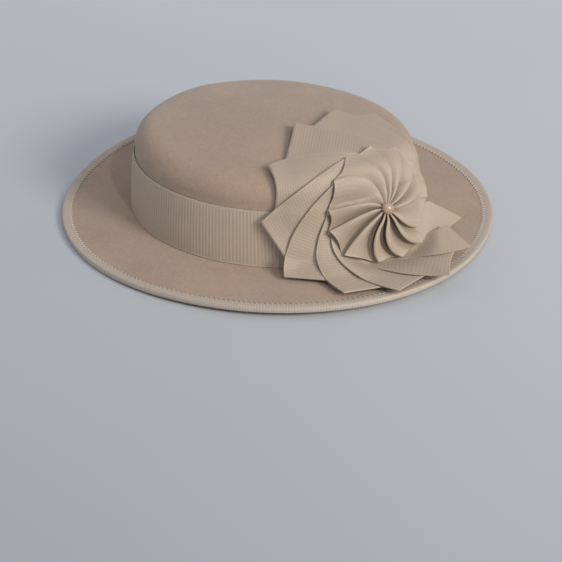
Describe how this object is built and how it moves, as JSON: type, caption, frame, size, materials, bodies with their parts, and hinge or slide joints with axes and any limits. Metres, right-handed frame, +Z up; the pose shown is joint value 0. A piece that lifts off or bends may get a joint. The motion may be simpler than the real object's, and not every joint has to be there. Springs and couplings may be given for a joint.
{
  "type": "boater hat",
  "caption": "Felt boater hat with a ribbon band, a bound brim edge and a large pleated ribbon rosette on the wearer's right.",
  "frame": {"origin": "centre of the bounding box on the plane the brim rests on", "axes": "+Z up, -Y towards the wearer's front, -X towards the wearer's right, where the rosette sits"},
  "size_m": [0.266, 0.296, 0.0762],
  "materials": {
    "felt": "matte",
    "ribbon": "satin",
    "bead": "gloss"
  },
  "bodies": {
    "root": {"crown": "felt", "brim": "felt", "hat_band": "ribbon", "edge_binding": "ribbon", "rosette_outer": "ribbon", "rosette_inner": "ribbon", "centre_bead": "bead"}
  },
  "joints": []
}
